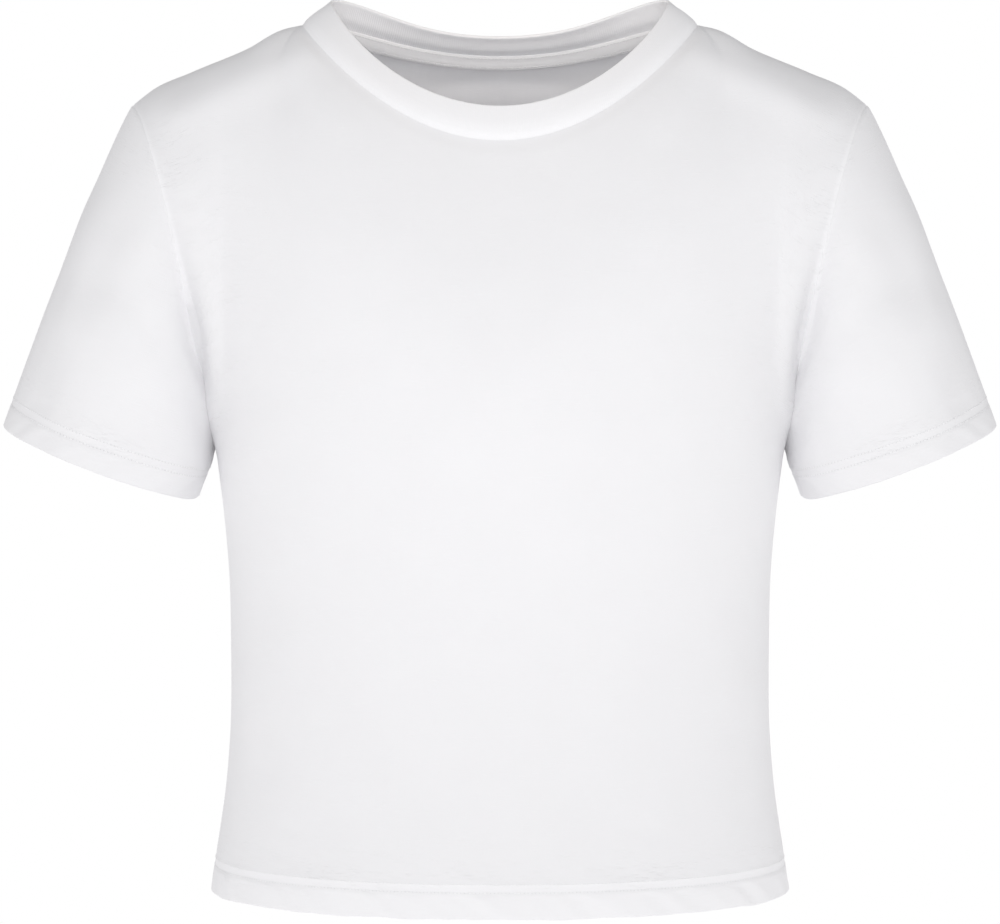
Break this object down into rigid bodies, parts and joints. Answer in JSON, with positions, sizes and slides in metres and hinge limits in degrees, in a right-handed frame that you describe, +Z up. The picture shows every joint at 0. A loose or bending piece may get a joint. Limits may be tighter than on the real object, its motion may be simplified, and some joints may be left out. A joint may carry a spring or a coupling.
{
  "type": "crop top",
  "caption": "Short-sleeved cropped T-shirt of light jersey, with a ribbed round neck and turned hems, filled out as when worn and open at neck, cuffs and hem.",
  "frame": {"origin": "midway between the two points where the neck seam meets the shoulder seams, at their height, where a wearer's shoulders carry the garment", "axes": "+Z up, the front of the garment faces -Y, +X towards the wearer's left sleeve"},
  "size_m": [0.549, 0.2233, 0.493],
  "materials": {
    "jersey": "white cotton single jersey with a faint slub, matt",
    "rib": "white cotton rib, folded double, matt",
    "tape": "white cotton jersey tape with two rows of stitches"
  },
  "bodies": {
    "root": {"front": "jersey", "back": "jersey", "sleeve_left": "jersey", "sleeve_right": "jersey", "neckband": "rib", "neck_tape": "tape"}
  },
  "joints": []
}
